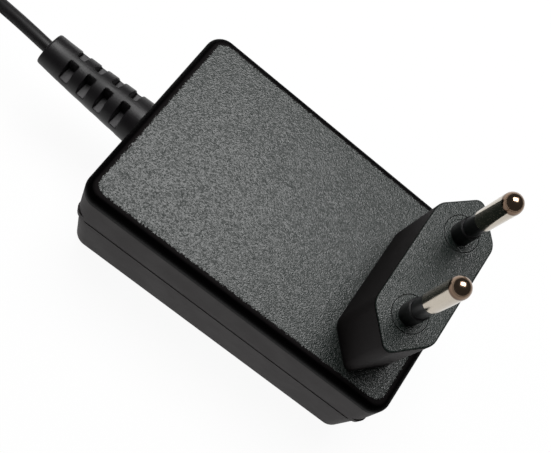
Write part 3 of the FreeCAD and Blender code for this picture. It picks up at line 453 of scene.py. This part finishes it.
on_rim = between(tree, level, FRONT_Z - RIM_DEPTH, FRONT_Z + FACE_REACH, RIM_SOFT)
on_end_edge = between(tree, level, END_Z - END_EDGE, END_GRAIN_FULL, LEVEL_SOFT)
on_block_wall = between(tree, level, FRONT_Z + BLOCK_FOOT, END_Z - END_EDGE, BLOCK_SOFT)
on_bush_seam = work_out(tree, "MULTIPLY", ring, at_end)
on_edges = work_out(tree, "MAXIMUM", work_out(tree, "MAXIMUM", on_rim, on_end_edge), on_bush_seam)
partly = work_out(tree, "MULTIPLY", on_block_wall, BLOCK_SHARE)
not_grained = work_out(tree, "SUBTRACT", 1.0, grained)
smooth_black = work_out(tree, "MULTIPLY", work_out(tree, "MAXIMUM", on_edges, partly), not_grained)
print("smooth rim from", round(FRONT_Z - RIM_DEPTH, 4), "to", round(FRONT_Z, 4))

# %% [markdown]
# ## Gloss, colour and grain of the housing
# Voronoi cells a quarter of a millimetre wide stand for the grains. Each cell has a random gloss, so some
# flash and some stay dull as on the real face, and a small dome of its own. A noise would give blurred
# blotches with no grain in them.
#
# The smooth parts must look black from every side, though a big soft lamp hangs over them. Real polish
# does it by reflecting a dark room, but here the table and the lamp would show in it. So these parts are
# turned towards a metal with an almost black colour and a dull surface, which takes the plastic's own
# reflection away.

# %% Housing gloss and colour
GRAIN_WIDTH = 0.25 * mm
GRAIN_GLOSS = (0.06, 0.56)
WALL_GLOSS = (0.66, 0.7)
WALL_CLOUDS = 5 * mm
SMOOTH_DULL = 0.75
GRAIN_BLACK = (0.009, 0.0135, 0.0115)
SMOOTH_BLACK = (0.0012, 0.001, 0.0012)


def blend_values(tree, share, first, second):
    """first where share is 0, and second where it is 1. Each is a number or the result of another node."""
    node = tree.nodes.new("ShaderNodeMix")
    tree.links.new(share, node.inputs["Factor"])
    for socket, value in zip((node.inputs[2], node.inputs[3]), (first, second)):
        if isinstance(value, (int, float)):
            socket.default_value = value
        else:
            tree.links.new(value, socket)
    return node.outputs[0]


cells = tree.nodes.new("ShaderNodeTexVoronoi")
cells.inputs["Scale"].default_value = 1 / GRAIN_WIDTH
tree.links.new(place, cells.inputs["Vector"])
chance = tree.nodes.new("ShaderNodeSeparateColor")
tree.links.new(cells.outputs["Color"], chance.inputs[0])
grain_gloss = spread_over(tree, chance.outputs[0], 0.0, 1.0, *GRAIN_GLOSS, smooth=False)
wall_gloss = spread_over(tree, add_noise(tree, place, WALL_CLOUDS), *EVENLY_SPREAD, *WALL_GLOSS)
plain_gloss = blend_values(tree, smooth_black, wall_gloss, SMOOTH_DULL)
tree.links.new(blend_values(tree, grained, plain_gloss, grain_gloss), shader.inputs["Roughness"])
plain_colour = blend_colours(tree, smooth_black, WALL_BLACK, SMOOTH_BLACK)
tree.links.new(blend_colours(tree, grained, plain_colour, GRAIN_BLACK), shader.inputs["Base Color"])
tree.links.new(smooth_black, shader.inputs["Metallic"])
print("grains:", GRAIN_WIDTH / mm, "mm wide")

# %% [markdown]
# Real domes would need millions of faces, and they are only a few hundredths of a millimetre high, so
# they are bump. The walls get a weaker and finer one.

# %% Housing relief
HOUSING_BUMP = 0.04 * mm
DOME_TOP = 0.4
SKIN_WIDTH = 0.2 * mm
SKIN_SHARE = 0.05

dome = work_out(tree, "SUBTRACT", DOME_TOP, cells.outputs["Distance"])
grains = work_out(tree, "MULTIPLY", dome, grained)
skin = work_out(tree, "MULTIPLY", add_noise(tree, place, SKIN_WIDTH), SKIN_SHARE)
add_bump(tree, shader, work_out(tree, "ADD", grains, skin), HOUSING_BUMP)
dress(housing, "front_cover", "rear_cover", "pin_bush_a", "pin_bush_b")
print("housing finish:", len(tree.nodes), "nodes, on both shells and both bushes")

# %% [markdown]
# ## Strain relief
# The strain relief is moulded on the cord in soft vinyl: a tapered body with two rows of deep pockets,
# which let it bend. Its edges are never sharp, and the cord bends its free end up a little.
#
# Its edges could be bevelled, but where the pockets break through the round flank the edges are too short
# and slanted for that. So a copy of the construction's mesh is merged and made again in small even faces,
# which rounds every edge by about the width of a face, and then smoothed.

# %% Soft edges
MERGE_WITHIN = 0.0005 * mm
FACE_WIDTH = 0.14 * mm
SMOOTH_STEPS = 5

work = bmesh.new()
work.from_mesh(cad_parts["strain_relief"].data)
bmesh.ops.remove_doubles(work, verts=work.verts, dist=MERGE_WITHIN)
sharp = bpy.data.meshes.new("sharp_relief")
work.to_mesh(sharp)
work.free()
holder = bpy.data.objects.new("holder", sharp)
bpy.context.scene.collection.objects.link(holder)
even = holder.modifiers.new("even", "REMESH")
even.mode = "VOXEL"
even.voxel_size = FACE_WIDTH
smooth = holder.modifiers.new("smooth", "SMOOTH")
smooth.factor = 0.5
smooth.iterations = SMOOTH_STEPS
graph = bpy.context.evaluated_depsgraph_get()
soft = bpy.data.meshes.new_from_object(holder.evaluated_get(graph))
bpy.data.objects.remove(holder)
bpy.data.meshes.remove(sharp)
print("soft strain relief:", len(soft.polygons), "faces")

# %% [markdown]
# The cord bends only the free half, in an even arc, and pulls it a little aside. A Simple Deform modifier
# bends a whole object, so it would move the foot out of the housing too. Here each point past the start
# of the bend is turned by its own small angle instead, round a middle line that follows the arc.

# %% Bend
RELIEF_LENGTH = 22.5 * mm
BEND_START = 12.5 * mm
BEND_TURN = 0.2
BEND_ASIDE = 0.17 * mm
BEND_REACH = RELIEF_LENGTH - BEND_START
RELIEF_FOOT = Vector((-35.05, 0, 17.6)) * mm
RELIEF_YAW = math.radians(1.4)
RELIEF_AXIS = Vector((-math.cos(RELIEF_YAW), math.sin(RELIEF_YAW), 0))
UP = Vector((0, 0, 1))
ACROSS = UP.cross(RELIEF_AXIS)


def beyond_bend(point):
    """How far along the strain relief a point lies past the start of the bend."""
    return max((point - RELIEF_FOOT).dot(RELIEF_AXIS) - BEND_START, 0)


def bend_relief(point):
    """Where a point of the straight strain relief lies once its free half is bent up."""
    beyond = beyond_bend(point)
    if beyond == 0:
        return point.copy()
    offset = point - RELIEF_FOOT
    turn = BEND_TURN * beyond / BEND_REACH
    aside = Vector((0, BEND_ASIDE, 0)) * (beyond / BEND_REACH) ** 2
    centre = RELIEF_FOOT + RELIEF_AXIS * (BEND_START + beyond * math.sin(turn) / turn)
    centre += UP * beyond * (1 - math.cos(turn)) / turn - aside
    raised = UP * math.cos(turn) - RELIEF_AXIS * math.sin(turn)
    return centre + raised * offset.z + ACROSS * offset.dot(ACROSS)


for vertex in soft.vertices:
    vertex.co = bend_relief(vertex.co)
EXIT = bend_relief(RELIEF_FOOT + RELIEF_AXIS * RELIEF_LENGTH) / mm
exit_way = RELIEF_AXIS * math.cos(BEND_TURN) + UP * math.sin(BEND_TURN)
print("cord leaves at", [round(v, 2) for v in EXIT], "mm")

# %% [markdown]
# The floors of the pockets get the rougher vinyl, whose grey is the painted sheen. They are the faces that
# look up, lie low in the body and stand clear of the spine between the two rows.

# %% Pocket floors and strain relief
LOOKS_UP = 0.8
FLOOR_LEVEL = 1.9 * mm
FLOOR_RISE = 0.6 * mm
SPINE_HALF = 0.6 * mm


def is_pocket_floor(face):
    """Whether a face of the bent strain relief belongs to the floor of a pocket."""
    share = beyond_bend(face.center) / BEND_REACH
    offset = face.center - RELIEF_FOOT
    is_low = offset.z < FLOOR_LEVEL + FLOOR_RISE * share ** 2
    return face.normal.z > LOOKS_UP and is_low and abs(offset.dot(ACROSS)) > SPINE_HALF


soft.name = "relief"
soft.materials.clear()
soft.materials.append(vinyl)
soft.materials.append(floor_vinyl_painted_sheen)
floor_count = 0
for face in soft.polygons:
    face.use_smooth = True
    if is_pocket_floor(face):
        # Upward pocket floors get the grey with the painted sheen
        face.material_index = 1
        floor_count += 1
relief = bpy.data.objects.new("relief", soft)
bpy.context.scene.collection.objects.link(relief)
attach(relief, "root")
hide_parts("strain_relief")
print("pocket floors:", floor_count, "faces")

# %% [markdown]
# ## Cord
# The cord leaves the strain relief, runs down to the table and ends in a tied coil and a DC plug, outside
# the picture. A cord could be a mesh swept along an edge path. A curve with a round bevel is simpler,
# stays smooth between a few given points and keeps its thickness.
#
# The coil's turns come from a loop: four layers of three places each, filled from the top layer down to
# the table in eleven turns. The cord moves over to the next place within an eighth of a turn, and these
# changes are spread round the coil, so that it never runs through itself. The cord's own sizes and points
# are in millimetres.

# %% Coil
CORD_RADIUS = 1.35
COIL_CENTRE = Vector((-96.5, -3.1, 0))
COIL_MIDDLE = 16.2
PITCH = 2.76
LAYER = 2.7
LOWEST_ROW = 3
COIL_START = 65
COIL_END = 4018
COIL_STEP = 15

# The angle at which each change starts, and the column and row after it
CHANGES = ((380, 1, 0), (740, 0, 0), (1055, 0, 1), (1370, 1, 1), (1730, 2, 1), (2045, 2, 2), (2360, 1, 2),
           (2720, 0, 2), (3035, 0, 3), (3350, 1, 3), (3710, 2, 3))
CHANGE_LENGTH = 45


def coil_place(angle):
    """The column and row of the cord at an angle, between whole numbers while it changes place."""
    column, row = 2.0, 0.0
    for start, next_column, next_row in CHANGES:
        share = min(max((angle - start) / CHANGE_LENGTH, 0), 1)
        share = share * share * (3 - 2 * share)
        column += (next_column - column) * share
        row += (next_row - row) * share
    return column, row


coil = []
for angle in range(COIL_START, COIL_END, COIL_STEP):
    column, row = coil_place(angle)
    # The curve cuts inside its points, so they lie a little further out than the cord does
    radius = (COIL_MIDDLE + (column - 1) * PITCH) / math.cos(math.radians(COIL_STEP / 2))
    height = CORD_RADIUS + (LOWEST_ROW - row) * LAYER
    around = math.radians(angle)
    coil.append(COIL_CENTRE + Vector((radius * math.cos(around), radius * math.sin(around), height)))
print("coil:", len(coil), "points,", round((COIL_END - COIL_START) / 360, 1), "turns")

# %% [markdown]
# The points before and after the coil are given. The first two lie in line with the strain relief,
# because a cord leaves its moulding straight. The last ones rise to the middle of the DC plug's grip. The
# spline's order is set after its points are added, because before, it would stay at straight runs.

# %% Cord
STRAIGHT_OUT = 2.2
TO_COIL = ((-65.0, 1.1, 18.6), (-70.7, 1.8, 17.6), (-76.0, 4.3, 15.4), (-81.6, 8.9, 12.3))
TO_PLUG = ((-92.1, 16.5, 1.35), (-98.4, 19.6, 1.4), (-104.8, 20.5, 1.7), (-111.4, 19.3, 2.7),
           (-117.1, 15.9, 4.1), (-120.6, 10.7, 4.8), (-121.8, 5.2, 4.8))
STEPS_BETWEEN = 6
ROUNDNESS = 5

route = [EXIT, EXIT + exit_way * STRAIGHT_OUT]
route += [Vector(point) for point in TO_COIL] + coil + [Vector(point) for point in TO_PLUG]
curve = bpy.data.curves.new("cord", "CURVE")
curve.dimensions = "3D"
line = curve.splines.new("NURBS")
line.points.add(len(route) - 1)
for point, place_mm in zip(line.points, route):
    point.co = (*(place_mm * mm), 1)
line.order_u = 3
line.use_endpoint_u = True
line.resolution_u = STEPS_BETWEEN
curve.bevel_depth = CORD_RADIUS * mm
curve.bevel_resolution = ROUNDNESS
curve.use_fill_caps = True
curve.materials.append(jacket)
cord = bpy.data.objects.new("cord", curve)
bpy.context.scene.collection.objects.link(cord)
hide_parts("output_cord", "cord_coil", "cord_tail")
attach(cord, "root")
print("cord:", len(route), "points")

# %% [markdown]
# ## Table
# The adapter lies on a white table, as for a shop picture. More light on the table would also brighten
# the black housing and wash it out. So the table keeps a plain white colour, and for the lens it mostly
# glows with a strength of 1, which is white. The small rest is lit as usual, which leaves a faint shadow.
#
# Metal should show the white table too. Further out it must not, or every smooth edge would get a pale
# line, so mirrors see the glow only near the adapter.

# %% Table
TABLE_HALF = 3
TABLE_BELOW = 0.0002
TABLE_WHITE = (0.9, 0.9, 0.9)
TABLE_DULL = 0.9
GLOW_SHARE = 0.94
GLOW_CENTRE = (0, -0.012, 0)
GLOW_NEAR = 0.05
GLOW_FAR = 0.07


def who_looks(tree):
    """Two masks: 1 for what the lens sees, and 1 for what mirrors and clear things see."""
    path = tree.nodes.new("ShaderNodeLightPath")
    mirrors = work_out(tree, "MAXIMUM", path.outputs["Is Glossy Ray"], path.outputs["Is Transmission Ray"])
    return path.outputs["Is Camera Ray"], mirrors


floor_mesh = bpy.data.meshes.new("floor")
work = bmesh.new()
bmesh.ops.create_grid(work, x_segments=1, y_segments=1, size=TABLE_HALF)
bmesh.ops.translate(work, verts=work.verts, vec=(0, 0, -TABLE_BELOW))
work.to_mesh(floor_mesh)
work.free()
floor = bpy.data.objects.new("floor", floor_mesh)
bpy.context.scene.collection.objects.link(floor)
table, tree, shader, place = new_finish("floor", TABLE_WHITE, TABLE_DULL, specular=0.0)
glow = tree.nodes.new("ShaderNodeEmission")
glow.inputs["Strength"].default_value = 1.0
distance = tree.nodes.new("ShaderNodeVectorMath")
distance.operation = "DISTANCE"
distance.inputs[1].default_value = GLOW_CENTRE
tree.links.new(place, distance.inputs[0])
near = spread_over(tree, distance.outputs["Value"], GLOW_NEAR, GLOW_FAR, 1.0, 0.0)
lens, mirrors = who_looks(tree)
shown = work_out(tree, "MAXIMUM", lens, work_out(tree, "MULTIPLY", mirrors, near))
blend = tree.nodes.new("ShaderNodeMixShader")
tree.links.new(work_out(tree, "MULTIPLY", shown, GLOW_SHARE), blend.inputs[0])
tree.links.new(shader.outputs[0], blend.inputs[1])
tree.links.new(glow.outputs[0], blend.inputs[2])
output = next(n for n in tree.nodes if n.type == "OUTPUT_MATERIAL")
tree.links.new(blend.outputs[0], output.inputs["Surface"])
floor_mesh.materials.append(table)
print("table:", 2 * TABLE_HALF, "m wide")

# %% [markdown]
# ## Lamp
# One large soft lamp hangs over the adapter, about where a mirror on the front face would show it to the
# lens. So the grains, which are small tilted mirrors, flash all over the face and make it grey. Several
# small lamps would leave spots. The lamp is weak enough that a colour renders about as it is written.

# %% Lamp
LAMP_WAY = Vector((-0.12, 0.34, 0.93)).normalized()
LAMP_TARGET = Vector((0, 0, 0.02))
LAMP_DISTANCE = 0.65
LAMP_WIDTH = 0.48
LAMP_DEPTH = 0.36
LAMP_POWER = 5.4

light = bpy.data.lights.new("key", "AREA")
light.shape = "RECTANGLE"
light.size = LAMP_WIDTH
light.size_y = LAMP_DEPTH
light.energy = LAMP_POWER
lamp = bpy.data.objects.new("key", light)
bpy.context.scene.collection.objects.link(lamp)
lamp.location = LAMP_TARGET + LAMP_WAY * LAMP_DISTANCE
lamp.rotation_mode = "QUATERNION"
lamp.rotation_quaternion = LAMP_WAY.to_track_quat("Z", "Y")
print("lamp:", LAMP_POWER, "W at", [round(v, 3) for v in lamp.location])

# %% [markdown]
# ## Room
# The room is dim, so almost all the light on the adapter comes from the lamp. A dark room would look
# wrong behind a product, so for the lens it is white, and for mirrors it is white just above the horizon,
# where the white table of a studio curves up.

# %% Room
ROOM_LIGHT = 0.07
HORIZON_WHITE = 0.02
HORIZON_DARK = 0.08

world = bpy.data.worlds.new("world")
world.use_nodes = True
bpy.context.scene.world = world
tree = world.node_tree
dim = next(n for n in tree.nodes if n.type == "BACKGROUND")
dim.inputs["Color"].default_value = (1, 1, 1, 1)
dim.inputs["Strength"].default_value = ROOM_LIGHT
white = tree.nodes.new("ShaderNodeBackground")
white.inputs["Color"].default_value = (1, 1, 1, 1)
white.inputs["Strength"].default_value = 1.0
way = tree.nodes.new("ShaderNodeTexCoord")
rise = height_of(tree, way.outputs["Generated"])
horizon = spread_over(tree, rise, HORIZON_WHITE, HORIZON_DARK, 1.0, 0.0)
lens, mirrors = who_looks(tree)
shown = work_out(tree, "MAXIMUM", lens, work_out(tree, "MULTIPLY", mirrors, horizon))
blend = tree.nodes.new("ShaderNodeMixShader")
tree.links.new(shown, blend.inputs[0])
tree.links.new(dim.outputs[0], blend.inputs[1])
tree.links.new(white.outputs[0], blend.inputs[2])
output = next(n for n in tree.nodes if n.type == "OUTPUT_WORLD")
tree.links.new(blend.outputs[0], output.inputs["Surface"])
bpy.context.scene.view_settings.view_transform = "Standard"
print("room light:", ROOM_LIGHT)
